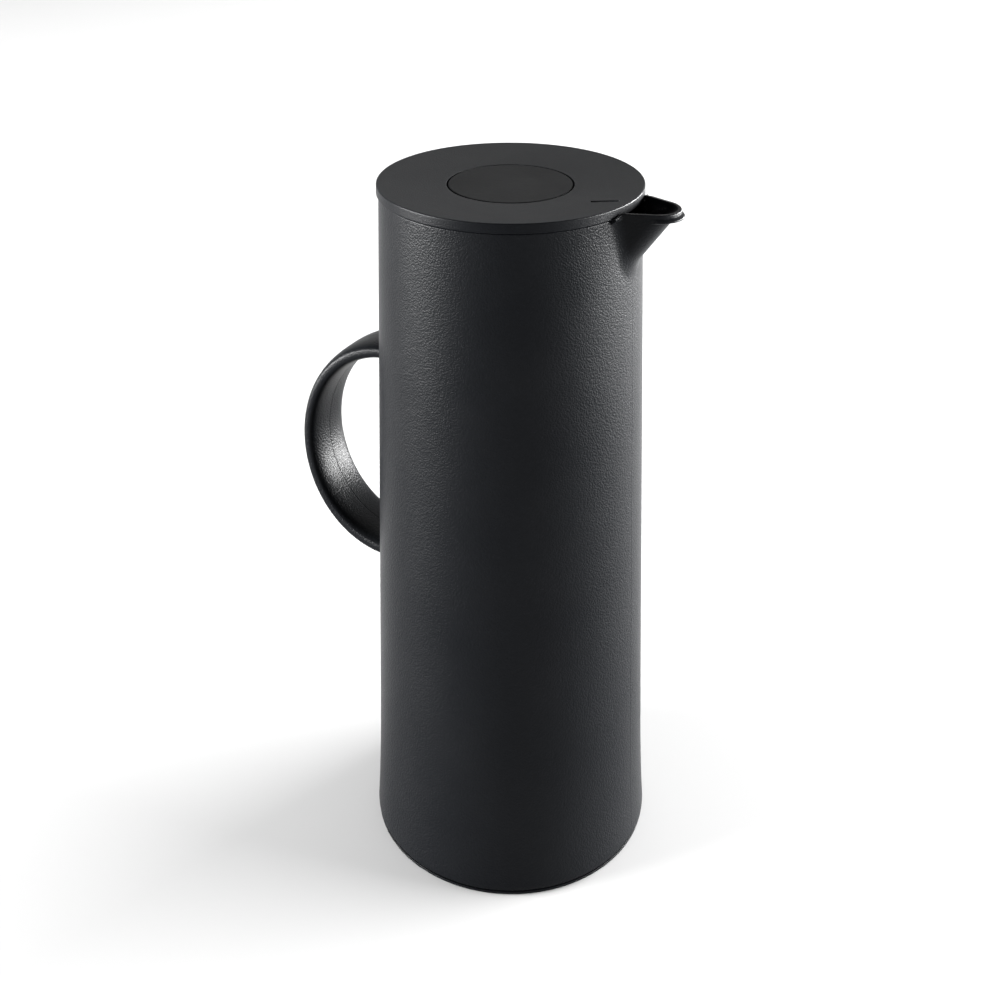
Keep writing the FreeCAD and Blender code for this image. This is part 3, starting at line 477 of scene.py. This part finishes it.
# %% Lay out a grid, drawn together towards the spout
COLUMNS, GATHER = 480, 0.78
shape = bmesh.new()
bmesh.ops.create_grid(shape, x_segments=len(rows), y_segments=COLUMNS, size=0.5)
points = np.array([point.co for point in shape.verts])
row = np.rint((points[:, 0] + 0.5) * len(rows)).astype(int) % len(rows)
around = 2 * math.pi * points[:, 1]
around = around - GATHER * np.sin(around)
print("shell grid:", len(shape.verts), "points in", COLUMNS, "columns")

# %% Work out each point's radius and height
SEAM_HEIGHT, SEAM_WIDTH, SEAM_TOP, SEAM_TURN = 0.07, 0.16, 226, 1
LEAST_STEP = 0.25
side = np.abs(around)
kind = np.array([entry[0] for entry in rows])[row]
level = np.array([float(entry[1]) for entry in rows])[row]
inset = np.array([float(entry[2]) for entry in rows])[row]
raised = side < CHEEK_TURN
top = SPOUT_RIM - CHEEK_DROP * soft((side - CHEEK_LEVEL_TURN) / (CHEEK_TURN - CHEEK_LEVEL_TURN))
climb = np.where(raised, np.clip((level - CLIMB_LOW) / (RIM - CLIMB_LOW), 0, None) * (top - RIM), 0)
height = level + np.where(np.isin(kind, (OUTER, RIM_TOP, STEP_TOP)), climb, 0)
skin = outside(side, height) - inset
rim_level = np.full_like(side, RIM)
step_top = np.maximum(LID_ROOM, channel(side, top)) + inset
step_low = np.maximum(LID_ROOM, channel(side, rim_level))
outer_edge = outside(side, rim_level) - RIM_ROUND
radius = np.select(
    [np.isin(kind, (OUTER, RIM_TOP)), kind == STEP_TOP, kind == STEP_LOW, kind == RIM_IN, kind == INNER],
    [skin, np.where(raised, np.minimum(step_top, outside(side, top) - LEAST_STEP), outer_edge),
     np.where(raised, step_low, outer_edge), channel(side, rim_level) + inset, channel(side, level)], inset)
height = np.where((kind == STEP_TOP) & ~raised, RIM, height)
radius = np.where((kind == RIM_IN) & raised, np.minimum(radius, step_low), radius)
seamed = (kind == OUTER) & (height < SEAM_TOP) & (side < SEAM_TURN)
radius = radius + SEAM_HEIGHT * np.exp(-(side * radius / SEAM_WIDTH) ** 2) * seamed
print("radius from", round(float(radius.min()), 2), "to", round(float(radius.max()), 2), "mm")

# %% Roll the grid up
WELD = 0.002
for point, r, turn, z in zip(shape.verts, radius * MM, around, height * MM):
    point.co = (r * math.cos(turn), r * math.sin(turn), z)
bmesh.ops.remove_doubles(shape, verts=shape.verts, dist=WELD * MM)
bmesh.ops.recalc_face_normals(shape, faces=shape.faces)
farthest = max(point.co.x for point in shape.verts) / MM
print("wall and spout:", len(shape.faces), "faces, reach", round(farthest, 2), "mm")

# %% [markdown]
# ## Shell: handle
#
# The handle is a wide band, domed on both faces so that it lies well in the hand, and bent to half a
# ring. Its outline lies between an ellipse and a rectangle, and it is spun about a line across the
# jug. The ends sink into the wall, and just before it the band swells by a small round, as the
# mould does. A fine groove down its middle is the line where the two halves of the mould met.

# %% Draw the band's section
RING_X, RING_Z, RING, RING_STRETCH = -53.8, 135.8, 41.0, 1.028
HALF_WIDTH, HALF_THICK, POWER, SEAM_DEPTH = 12.65, 3.5, 3.0, 0.09
ROOT_ROUND, ROOT_DEPTH, SWEEP, BEND_STEPS = 1.0, 53.6, math.radians(93.0), 320


def dome(y):
    """Half the band's thickness at a distance from its middle, with the seam's groove."""
    return HALF_THICK * (1 - (abs(y) / HALF_WIDTH) ** POWER) ** (1 / POWER) - SEAM_DEPTH * (y == 0)


beside = [0, 0.2, 0.45, 1, 2, 3.5, 5, 6.5, 8, 9.2, 10.2, 11, 11.6, 12.05, 12.35, 12.55, HALF_WIDTH]
beside = [-y for y in beside[:0:-1]] + beside
domed = [dome(y) for y in beside]
outline = [*zip(domed, beside), *((-x, y) for x, y in zip(domed[-2:0:-1], beside[-2:0:-1]))]
band = bmesh.new()
section = [band.verts.new(((RING_X - RING + x) * MM, y * MM, RING_Z * MM)) for x, y in outline]
for pair in zip(section, section[1:] + section[:1]):
    band.edges.new(pair)
print("band section:", len(band.verts), "points")

# %% Bend the band to half a ring
hub = (RING_X * MM, 0, RING_Z * MM)
bmesh.ops.rotate(band, verts=band.verts, cent=hub, matrix=Matrix.Rotation(-SWEEP, 3, "Y"))
bmesh.ops.spin(band, geom=band.verts[:] + band.edges[:], cent=hub, axis=(0, 1, 0), angle=2 * SWEEP,
               steps=BEND_STEPS)
bmesh.ops.holes_fill(band, edges=[edge for edge in band.edges if edge.is_boundary], sides=0)
print("band:", len(band.faces), "faces")

# %% Round the roots and sink the ends into the wall
for point in band.verts:
    x, along, z = (value / MM for value in point.co)
    ring = math.hypot(x - RING_X, z - RING_Z)
    across = ring - RING
    gap = max(math.hypot(x, along) - float(wall_radius(np.array(z))), 0)
    if gap < ROOT_ROUND:
        out = Vector([math.copysign((abs(value) / half) ** (POWER - 1) / half, value)
                      for value, half in ((across, HALF_THICK), (along, HALF_WIDTH))]).normalized()
        swell = ROOT_ROUND - math.sqrt(ROOT_ROUND ** 2 - (ROOT_ROUND - gap) ** 2)
        across, along = across + out.x * swell, along + out.y * swell
    stretch_out = (RING + across) / ring
    x, z = RING_X + (x - RING_X) * stretch_out, RING_Z + (z - RING_Z) * stretch_out * RING_STRETCH
    if x > -ROOT_DEPTH and math.hypot(x, along) < ROOT_DEPTH:
        x = -math.sqrt(ROOT_DEPTH ** 2 - along ** 2)
    point.co = (x * MM, along * MM, z * MM)
bmesh.ops.remove_doubles(band, verts=band.verts, dist=WELD * MM)
bmesh.ops.recalc_face_normals(band, faces=band.faces)
back = min(point.co.x for point in band.verts) / MM
print("handle:", len(band.faces), "faces, back at", round(back, 2), "mm")

# %% Helpers for finished pieces
def crease(mesh_shape, degrees):
    """Smooth shading, with sharp edges where two faces meet at more than an angle."""
    limit = math.radians(degrees)
    for face in mesh_shape.faces:
        face.smooth = True
    for edge in mesh_shape.edges:
        edge.smooth = len(edge.link_faces) == 2 and edge.calc_face_angle(0) < limit


def new_piece(name, mesh_shape, body, replaced, finish_name):
    """Turns a bmesh into a piece that rides on a body and stands for a solid."""
    mesh = bpy.data.meshes.new(name)
    mesh_shape.to_mesh(mesh)
    mesh_shape.free()
    piece = bpy.data.objects.new(name, mesh)
    bpy.context.scene.collection.objects.link(piece)
    mesh.materials.append(finishes[finish_name])
    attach(piece, body)
    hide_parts(replaced)
    return piece


print("helpers:", crease.__name__, new_piece.__name__)

# %% Join handle and wall into one piece
SHELL_CREASE = 40
handle_mesh = bpy.data.meshes.new("handle")
band.to_mesh(handle_mesh)
band.free()
shape.from_mesh(handle_mesh)
bpy.data.meshes.remove(handle_mesh)
crease(shape, SHELL_CREASE)
shell = new_piece("shell", shape, "jug", "outer_shell", "shell_plastic")
print("shell:", len(shell.data.polygons), "faces")

# %% [markdown]
# ## Turned pieces
#
# Lid, button, plug, collar and foot are all round. Each is drawn as half a section, its corners
# are bevelled as a tool would leave them, and the outline is spun once round the axis. Long edges
# get an extra point close to each end first, so that the shading of a round doesn't spread over the
# flat face beside it. A helper does that, because the steps are the same every time.

# %% Helper for turned pieces
TURN_STEPS, TURN_CREASE = 240, 30
LONG_EDGE, BESIDE_ROUND = 2.0, 0.3


def turned(corners, rounds):
    """Spins a closed outline of radius and height in millimetres. Rounds gives corners a radius."""
    lathe = bmesh.new()
    spots = [lathe.verts.new((r * MM, 0, z * MM)) for r, z in corners]
    lathe.faces.new(spots)
    for index, size in rounds.items():
        bmesh.ops.bevel(lathe, geom=[spots[index]], offset=size * MM, affect="VERTICES", segments=4,
                        profile=0.5, material=-1)
    bmesh.ops.delete(lathe, geom=lathe.faces[:], context="FACES_ONLY")
    on_axis = [edge for edge in lathe.edges if all(point.co.x < WELD * MM for point in edge.verts)]
    bmesh.ops.delete(lathe, geom=on_axis, context="EDGES")
    for edge in [edge for edge in lathe.edges if edge.calc_length() > LONG_EDGE * MM]:
        for point in edge.verts[:]:
            bmesh.utils.edge_split(edge, point, BESIDE_ROUND * MM / edge.calc_length())
    bmesh.ops.spin(lathe, geom=lathe.verts[:] + lathe.edges[:], cent=(0, 0, 0), axis=(0, 0, 1),
                   angle=2 * math.pi, steps=TURN_STEPS, use_merge=True)
    bmesh.ops.remove_doubles(lathe, verts=lathe.verts, dist=WELD / 2 * MM)
    bmesh.ops.recalc_face_normals(lathe, faces=lathe.faces)
    crease(lathe, TURN_CREASE)
    return lathe


print("helper:", turned.__name__, "with", TURN_STEPS, "steps")

# %% [markdown]
# ### Lid
#
# The lid is a round cover with a short skirt. Its top falls a little towards the button, and a
# short slot near the spout marks which way the lid points. The slot is cut with a Boolean: a
# small bar with rounded edges is taken away from the spun cover.

# %% Turn the lid
LID, LID_LOW, LID_TOP, BUTTON_TOP = 56.45, 253.5, 257.5, 255.9
BUTTON_HOLE, FLANGE, FLANGE_TOP, SKIRT_IN, COVER_THICK = 26.9, 33.6, 254.07, 54.07, 2.2
lid_shape = turned([
    (BUTTON_HOLE, LID_LOW), (FLANGE, LID_LOW), (FLANGE, FLANGE_TOP), (SKIRT_IN, LID_TOP - COVER_THICK),
    (SKIRT_IN, LID_LOW), (LID, LID_LOW), (LID, LID_TOP), (BUTTON_HOLE, BUTTON_TOP),
], {4: 0.2, 5: 0.25, 6: 0.5, 7: 0.3})
lid = new_piece("lid", lid_shape, "lid", "lid_cover", "lid_plastic")
print("lid:", len(lid.data.polygons), "faces before its mark is cut")

# %% Cut the lid's mark
MARK_LONG, MARK_WIDE, MARK_TALL, MARK_ROUND, MARK_FROM_EDGE = 11.6, 2.2, 3.2, 0.5, 9.85
MARK_BEARING, MARK_TURN = math.radians(-8.7), math.radians(23.5)


def carve(piece, build):
    """Takes a cutter away from a piece with a Boolean, and keeps the result as the piece's mesh."""
    cutter = plain_mesh("cutter", build)
    cut = piece.modifiers.new("cut", "BOOLEAN")
    cut.object, cut.operation, cut.solver = cutter, "DIFFERENCE", "EXACT"
    bpy.context.view_layer.update()
    carved = bpy.data.meshes.new_from_object(piece.evaluated_get(bpy.context.evaluated_depsgraph_get()))
    piece.modifiers.clear()
    piece.data = carved
    bpy.data.objects.remove(cutter)
    result = bmesh.new()
    result.from_mesh(carved)
    crease(result, TURN_CREASE)
    result.to_mesh(carved)
    result.free()


def mark(shape):
    """A bar with rounded upright edges, over the place of the mark."""
    bmesh.ops.create_cube(shape, size=1.0)
    bmesh.ops.scale(shape, verts=shape.verts, vec=(MARK_LONG * MM, MARK_WIDE * MM, MARK_TALL * MM))
    upright_edges = [edge for edge in shape.edges if abs(edge.verts[0].co.z - edge.verts[1].co.z) > WELD * MM]
    bmesh.ops.bevel(shape, geom=upright_edges, offset=MARK_ROUND * MM, affect="EDGES", segments=4,
                    profile=0.5, material=-1)
    bmesh.ops.rotate(shape, verts=shape.verts, cent=(0, 0, 0), matrix=Matrix.Rotation(MARK_TURN, 3, "Z"))
    reach = LID - MARK_FROM_EDGE
    place = (reach * math.cos(MARK_BEARING) * MM, reach * math.sin(MARK_BEARING) * MM, LID_TOP * MM)
    bmesh.ops.translate(shape, verts=shape.verts, vec=place)


carve(lid, mark)
print("lid:", len(lid.data.polygons), "faces")

# %% [markdown]
# ### Push button
#
# A shallow cup whose top lies flush with the dish of the lid, and a boss underneath that holds the
# rod. Its edge is rounded only a little, so the ring-shaped gap around it stays a thin dark line.

# %% Turn the button
BUTTON, CUP_IN, CUP_DEEP, BUTTON_THICK = 26.2, 24.4, 6.0, 2.0
ROD_BORE, BOSS, BOSS_LONG = 3.1, 5.6, 3.5
UNDER, CUP_LOW = BUTTON_TOP - BUTTON_THICK, BUTTON_TOP - CUP_DEEP
button_shape = turned([
    (0, UNDER), (ROD_BORE, UNDER), (ROD_BORE, UNDER - BOSS_LONG), (BOSS, UNDER - BOSS_LONG), (BOSS, UNDER),
    (CUP_IN, UNDER), (CUP_IN, CUP_LOW), (BUTTON, CUP_LOW), (BUTTON, BUTTON_TOP), (0, BUTTON_TOP),
], {3: 0.3, 6: 0.3, 7: 0.3, 8: 0.4})
button = new_piece("button", button_shape, "valve", "push_button", "button_plastic")
print("button:", len(button.data.polygons), "faces")

# %% [markdown]
# ### Foot
#
# A cap closes the shell from below. Between cap and shell lies a flat seal, a little set back,
# which shows as a thin dark line above the table. A pad of soft rubber in the cap's recess keeps
# the jug from sliding; a few fine grooves round it grip the table.

# %% Turn the foot
CAP_EDGE, CAP_PLUG, CAP_WALL, RECESS, SEAL_OUT = 54.7, 51.65, 2.2, 46.6, 53.7
CAP_LOW, SEAL_LOW, RECESS_TOP, CAP_FLOOR, CAP_HIGH = 0.5, 1.5, 1.6, 4.0, 12.0
cap_shape = turned([
    (0, RECESS_TOP), (RECESS, RECESS_TOP), (RECESS, CAP_LOW), (CAP_EDGE, CAP_LOW), (CAP_EDGE, SEAL_LOW),
    (CAP_PLUG, SEAL_LOW), (CAP_PLUG, CAP_HIGH), (CAP_PLUG - CAP_WALL, CAP_HIGH),
    (CAP_PLUG - CAP_WALL, CAP_FLOOR), (0, CAP_FLOOR),
], {2: 0.2, 3: 0.4, 4: 0.15, 6: 0.5, 7: 0.5})
cap = new_piece("foot_cap", cap_shape, "jug", "base_cap", "shell_plastic")
seal_corners = [(LOW_BORE, SEAL_LOW), (SEAL_OUT, SEAL_LOW), (SEAL_OUT, EDGE_LOW), (LOW_BORE, EDGE_LOW)]
seal_ring = new_piece("foot_seal", turned(seal_corners, {1: 0.2, 2: 0.2}), "jug", "base_seal", "foot_rubber")
print("foot:", cap.name, "and", seal_ring.name)

# %% Turn the pad
PAD, GROOVE_HALF, GROOVE_FLOOR_HALF, GROOVE_DEEP = 46.4, 0.6, 0.3, 0.5
GROOVES = (33.0, 36.0, 39.0, 42.0)
grooved = []
for middle in GROOVES:
    grooved += [(middle - GROOVE_HALF, 0), (middle - GROOVE_FLOOR_HALF, GROOVE_DEEP),
                (middle + GROOVE_FLOOR_HALF, GROOVE_DEEP), (middle + GROOVE_HALF, 0)]
pad_corners = [(0, 0), *grooved, (PAD, 0), (PAD, RECESS_TOP), (0, RECESS_TOP)]
pad_shape = turned(pad_corners, {len(grooved) + 1: 0.3})
pad = new_piece("foot_pad_rings", pad_shape, "jug", "foot_pad", "foot_rubber")
print("pad:", len(pad.data.polygons), "faces and", len(GROOVES), "grooves")

# %% [markdown]
# ### Plug and collar
#
# The lid's plug screws into the sleeve of the collar inside the rim. Both are turned, with the edges
# rounded that a hand or a seal slides over. One and a half turns lift the lid off, nine millimetres
# a turn, so the plug carries a right-handed thread groove of that pitch: the points of its wall are
# moved in along a helix. Its six pour windows are cut with a Boolean.

# %% Turn the collar
SLEEVE, SLEEVE_OUT, SLEEVE_TOP, SLEEVE_JOINS = 31.55, 33.75, 235.0, 233.0
LEDGE_BORE, LEDGE, COLLAR_LOW = 27.0, 218.3, 216.3
COLLAR, COLLAR_WALL, COLLAR_DEEP = 52.85, 2, 6
collar_shape = turned([
    (SLEEVE, SLEEVE_TOP), (SLEEVE, LEDGE), (LEDGE_BORE, LEDGE), (LEDGE_BORE, COLLAR_LOW),
    (SLEEVE_OUT, COLLAR_LOW), (SLEEVE_OUT, SLEEVE_JOINS), (COLLAR - COLLAR_WALL, DECK - COLLAR_WALL),
    (COLLAR - COLLAR_WALL, DECK - COLLAR_DEEP), (COLLAR, DECK - COLLAR_DEEP), (COLLAR, DECK),
    (RIM_BORE, DECK),
], {0: 0.4, 2: 0.3, 3: 0.3, 8: 0.4})
collar = new_piece("collar", collar_shape, "jug", "neck_collar", "inner_plastic")
print("collar:", len(collar.data.polygons), "faces")

# %% Turn the plug
PLUG_WALL, WELL, SEAT, PLUG_FLOOR, THROAT = 31.2, 29.2, 217.0, 223.0, 12.0
SEAL_SEAT, SHOULDER, FLANGE_LOW = 24.3, 221.0, 251.5
PARTITION, PARTITION_LOW = 243.5, 241.5
GUIDE, GUIDE_TOP, GUIDE_LOW, POCKET, POCKET_TOP = 6.0, 245.5, 237.5, 4.9, 239.7
THREAD_ROWS = 31
THREAD_RISE, THREAD_LOW, THREAD_TOP, THREAD_DEPTH, THREAD_WIDTH = 9.0, 222.6, 234.6, 0.9, 3.0
RUN_OUT, FLANK_START, FLANK, ON_WALL = 1.5, 0.6, 0.8, 0.01


def thread(lathe):
    """Moves the points of the plug's wall in along a helix, with soft flanks and ends that run out."""
    for point in lathe.verts:
        r, z = math.hypot(point.co.x, point.co.y) / MM, point.co.z / MM
        if abs(r - PLUG_WALL) < ON_WALL:
            phase = (z / THREAD_RISE - math.atan2(point.co.y, point.co.x) / (2 * math.pi)) % 1.0 - 0.5
            ends = soft((z - THREAD_LOW) / RUN_OUT) * soft((THREAD_TOP - z) / RUN_OUT)
            flank = soft((abs(phase) * THREAD_RISE - THREAD_WIDTH / 2 + FLANK_START) / FLANK)
            inwards = THREAD_DEPTH * ends * (1 - flank)
            point.co.x *= 1 - inwards / r
            point.co.y *= 1 - inwards / r


plug_shape = turned([
    (THROAT, SEAT), (SEAL_SEAT, SEAT), (SEAL_SEAT, SHOULDER), (PLUG_WALL, SHOULDER),
    *((PLUG_WALL, float(z)) for z in np.linspace(THREAD_LOW, THREAD_TOP, THREAD_ROWS)),
    (PLUG_WALL, FLANGE_LOW), (FLANGE, FLANGE_LOW), (FLANGE, LID_LOW), (WELL, LID_LOW), (WELL, PARTITION),
    (GUIDE, PARTITION), (GUIDE, GUIDE_TOP), (ROD_BORE, GUIDE_TOP), (ROD_BORE, POCKET_TOP),
    (POCKET, POCKET_TOP), (POCKET, GUIDE_LOW), (GUIDE, GUIDE_LOW), (GUIDE, PARTITION_LOW),
    (WELL, PARTITION_LOW), (WELL, PLUG_FLOOR), (THROAT, PLUG_FLOOR),
], {0: 0.3, 1: 0.5, 3: 0.4})
thread(plug_shape)
crease(plug_shape, TURN_CREASE)
plug = new_piece("plug", plug_shape, "lid", "stopper_body", "inner_plastic")
print("plug:", len(plug.data.polygons), "faces before its windows are cut")

# %% Cut the plug's windows
WINDOWS = 6
WINDOW_WIDE, WINDOW_DEEP, WINDOW_TALL, WINDOW_REACH, WINDOW_LEVEL = 17, 8, 5, 30.2, 238.0


def windows(shape):
    """Blocks through the plug's wall, evenly round it."""
    for count in range(WINDOWS):
        turn = Matrix.Rotation(2 * math.pi * count / WINDOWS, 3, "Z")
        block = bmesh.ops.create_cube(shape, size=1.0)["verts"]
        bmesh.ops.scale(shape, verts=block, vec=(WINDOW_WIDE * MM, WINDOW_DEEP * MM, WINDOW_TALL * MM))
        bmesh.ops.translate(shape, verts=block, vec=(0, -WINDOW_REACH * MM, WINDOW_LEVEL * MM))
        bmesh.ops.rotate(shape, verts=block, cent=(0, 0, 0), matrix=turn)


carve(plug, windows)
print("plug:", len(plug.data.polygons), "faces")

# %% [markdown]
# ### Spring
#
# A coil of round steel wire stands on the plug's partition and lifts the button. A ring of points is spun and
# raised at the same time, as wire is wound on a mandrel. The coil is wound at its rest length only, and
# nothing here squeezes it towards the partition when the button is pressed.

# %% Wind the spring
COIL, WIRE, TURNS, SPRING_LOW, SPRING_TOP, PRESS = 11.0, 1.2, 3.5, 244.15, 253.25, 4.5
STEPS_PER_TURN, WIRE_SIDES, COIL_CREASE = 72, 16, 40
coil_steps = int(TURNS * STEPS_PER_TURN)
rise = (SPRING_TOP - SPRING_LOW) / coil_steps * MM
coil = bmesh.new()
bmesh.ops.create_circle(coil, segments=WIRE_SIDES, radius=WIRE / 2 * MM)
bmesh.ops.rotate(coil, verts=coil.verts, cent=(0, 0, 0), matrix=Matrix.Rotation(math.pi / 2, 3, "X"))
bmesh.ops.translate(coil, verts=coil.verts, vec=(COIL * MM, 0, SPRING_LOW * MM))
bmesh.ops.spin(coil, geom=coil.verts[:] + coil.edges[:], cent=(0, 0, 0), axis=(0, 0, 1),
               angle=TURNS * 2 * math.pi, steps=coil_steps, dvec=(0, 0, rise))
bmesh.ops.holes_fill(coil, edges=[edge for edge in coil.edges if edge.is_boundary], sides=0)
bmesh.ops.recalc_face_normals(coil, faces=coil.faces)
crease(coil, COIL_CREASE)
spring = new_piece("spring", coil, "lid", "button_spring", "spring_steel")
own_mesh(spring)
heights = [point.co.z / MM for point in spring.data.vertices]
print("spring: from", round(min(heights), 2), "to", round(max(heights), 2), "mm")
